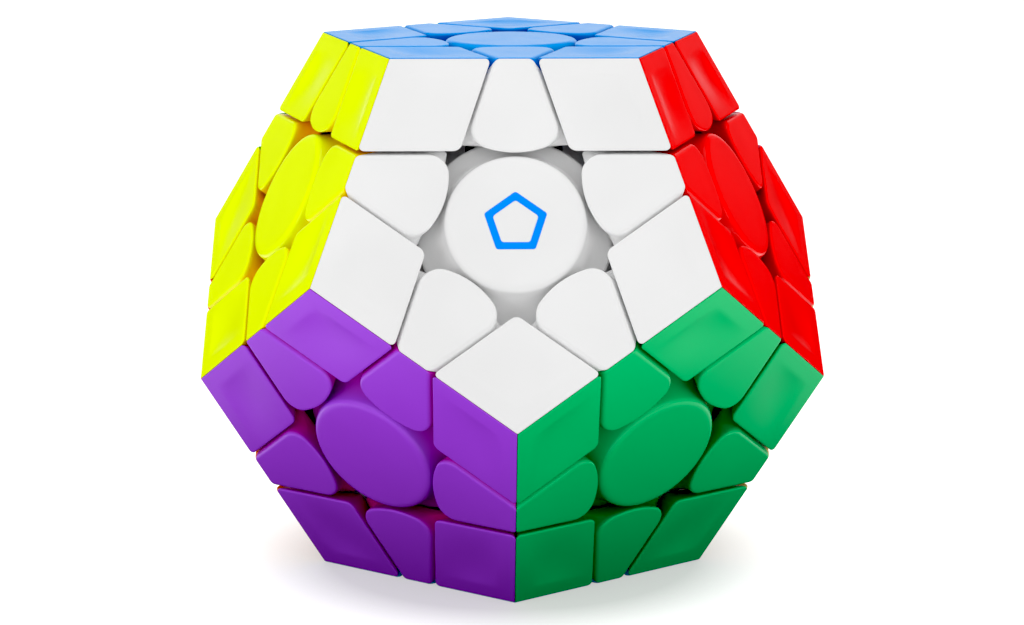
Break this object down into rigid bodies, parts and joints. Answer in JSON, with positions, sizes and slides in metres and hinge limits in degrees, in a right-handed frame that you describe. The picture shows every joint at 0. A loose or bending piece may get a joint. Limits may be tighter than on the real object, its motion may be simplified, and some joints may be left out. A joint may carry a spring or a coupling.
{
  "type": "dodecahedron twisty puzzle",
  "caption": "Twelve-coloured dodecahedron twisty puzzle with round sprung centres, rounded edge tiles and scooped corner tiles; three whole layers and every other centre turn.",
  "frame": {"origin": "the middle of the core, where the twelve face axes meet", "axes": "+Z along the blue face's axis, out of the top; -Y towards the white face, -Z is the face it rests on"},
  "size_m": [0.0786, 0.0826, 0.0668],
  "materials": {
    "blue_plastic": "satin gloss moulded",
    "white_plastic": "satin gloss moulded",
    "red_plastic": "satin gloss moulded",
    "pink_plastic": "satin gloss moulded",
    "light_green_plastic": "satin gloss moulded",
    "yellow_plastic": "satin gloss moulded",
    "green_plastic": "satin gloss moulded",
    "cream_plastic": "satin gloss moulded",
    "grey_plastic": "satin gloss moulded",
    "orange_plastic": "satin gloss moulded",
    "purple_plastic": "satin gloss moulded",
    "light_blue_plastic": "satin gloss moulded",
    "inner_plastic": "fine matt moulded",
    "core_plastic": "fine matt moulded",
    "nut_plastic": "fine matt moulded",
    "screw_steel": "satin",
    "spring_steel": "polished wire"
  },
  "bodies": {
    "core": {"blue_tiles_on_fixed": "blue_plastic", "centre_screws": "screw_steel", "centre_springs": "spring_steel", "core": "core_plastic", "cream_tiles_on_fixed": "cream_plastic", "feet_fixed": "inner_plastic", "green_tiles_on_fixed": "green_plastic", "grey_tiles_on_fixed": "grey_plastic", "light_green_tiles_on_fixed": "light_green_plastic", "orange_tiles_on_fixed": "orange_plastic", "pink_tiles_on_fixed": "pink_plastic", "purple_tiles_on_fixed": "purple_plastic", "tension_nuts": "nut_plastic", "white_tiles_on_fixed": "white_plastic"},
    "blue_centre": {"blue_centre_base": "blue_plastic", "blue_centre_cap": "blue_plastic"},
    "red_layer": {"blue_tiles_on_red_layer": "blue_plastic", "cream_tiles_on_red_layer": "cream_plastic", "feet_red_layer": "inner_plastic", "green_tiles_on_red_layer": "green_plastic", "pink_tiles_on_red_layer": "pink_plastic", "red_centre_base": "red_plastic", "red_centre_cap": "red_plastic", "red_tiles": "red_plastic", "white_tiles_on_red_layer": "white_plastic"},
    "yellow_layer": {"blue_tiles_on_yellow_layer": "blue_plastic", "feet_yellow_layer": "inner_plastic", "light_green_tiles_on_yellow_layer": "light_green_plastic", "orange_tiles_on_yellow_layer": "orange_plastic", "purple_tiles_on_yellow_layer": "purple_plastic", "white_tiles_on_yellow_layer": "white_plastic", "yellow_centre_base": "yellow_plastic", "yellow_centre_cap": "yellow_plastic", "yellow_tiles": "yellow_plastic"},
    "cream_centre": {"cream_centre_base": "cream_plastic", "cream_centre_cap": "cream_plastic"},
    "light_blue_layer": {"cream_tiles_on_light_blue_layer": "cream_plastic", "feet_light_blue_layer": "inner_plastic", "green_tiles_on_light_blue_layer": "green_plastic", "grey_tiles_on_light_blue_layer": "grey_plastic", "light_blue_centre_base": "light_blue_plastic", "light_blue_centre_cap": "light_blue_plastic", "light_blue_tiles": "light_blue_plastic", "orange_tiles_on_light_blue_layer": "orange_plastic", "purple_tiles_on_light_blue_layer": "purple_plastic"},
    "green_centre": {"green_centre_base": "green_plastic", "green_centre_cap": "green_plastic"},
    "grey_centre": {"grey_centre_base": "grey_plastic", "grey_centre_cap": "grey_plastic"},
    "light_green_centre": {"light_green_centre_base": "light_green_plastic", "light_green_centre_cap": "light_green_plastic"},
    "orange_centre": {"orange_centre_base": "orange_plastic", "orange_centre_cap": "orange_plastic"},
    "pink_centre": {"pink_centre_base": "pink_plastic", "pink_centre_cap": "pink_plastic"},
    "purple_centre": {"purple_centre_base": "purple_plastic", "purple_centre_cap": "purple_plastic"},
    "white_centre": {"white_centre_base": "white_plastic", "white_centre_cap": "white_plastic"}
  },
  "joints": [
    {"name": "face_turn_light_blue", "type": "hinge", "parent": "core", "child": "light_blue_layer", "pos_m": [0, 0, 0], "axis": [0, 0, -1], "continuous": true},
    {"name": "face_turn_red", "type": "hinge", "parent": "core", "child": "red_layer", "pos_m": [0, 0, 0], "axis": [0.8507, -0.2764, 0.4472], "continuous": true},
    {"name": "face_turn_yellow", "type": "hinge", "parent": "core", "child": "yellow_layer", "pos_m": [0, 0, 0], "axis": [-0.8507, -0.2764, 0.4472], "continuous": true},
    {"name": "hub_spin_blue", "type": "hinge", "parent": "core", "child": "blue_centre", "pos_m": [0, 0, 0], "axis": [0, 0, 1], "continuous": true},
    {"name": "hub_spin_cream", "type": "hinge", "parent": "core", "child": "cream_centre", "pos_m": [0, 0, 0], "axis": [0.8507, 0.2764, -0.4472], "continuous": true},
    {"name": "hub_spin_green", "type": "hinge", "parent": "core", "child": "green_centre", "pos_m": [0, 0, 0], "axis": [0.5257, -0.7236, -0.4472], "continuous": true},
    {"name": "hub_spin_grey", "type": "hinge", "parent": "core", "child": "grey_centre", "pos_m": [0, 0, 0], "axis": [0, 0.8944, -0.4472], "continuous": true},
    {"name": "hub_spin_light_green", "type": "hinge", "parent": "core", "child": "light_green_centre", "pos_m": [0, 0, 0], "axis": [-0.5257, 0.7236, 0.4472], "continuous": true},
    {"name": "hub_spin_orange", "type": "hinge", "parent": "core", "child": "orange_centre", "pos_m": [0, 0, 0], "axis": [-0.8507, 0.2764, -0.4472], "continuous": true},
    {"name": "hub_spin_pink", "type": "hinge", "parent": "core", "child": "pink_centre", "pos_m": [0, 0, 0], "axis": [0.5257, 0.7236, 0.4472], "continuous": true},
    {"name": "hub_spin_purple", "type": "hinge", "parent": "core", "child": "purple_centre", "pos_m": [0, 0, 0], "axis": [-0.5257, -0.7236, -0.4472], "continuous": true},
    {"name": "hub_spin_white", "type": "hinge", "parent": "core", "child": "white_centre", "pos_m": [0, 0, 0], "axis": [0, -0.8944, 0.4472], "continuous": true}
  ]
}
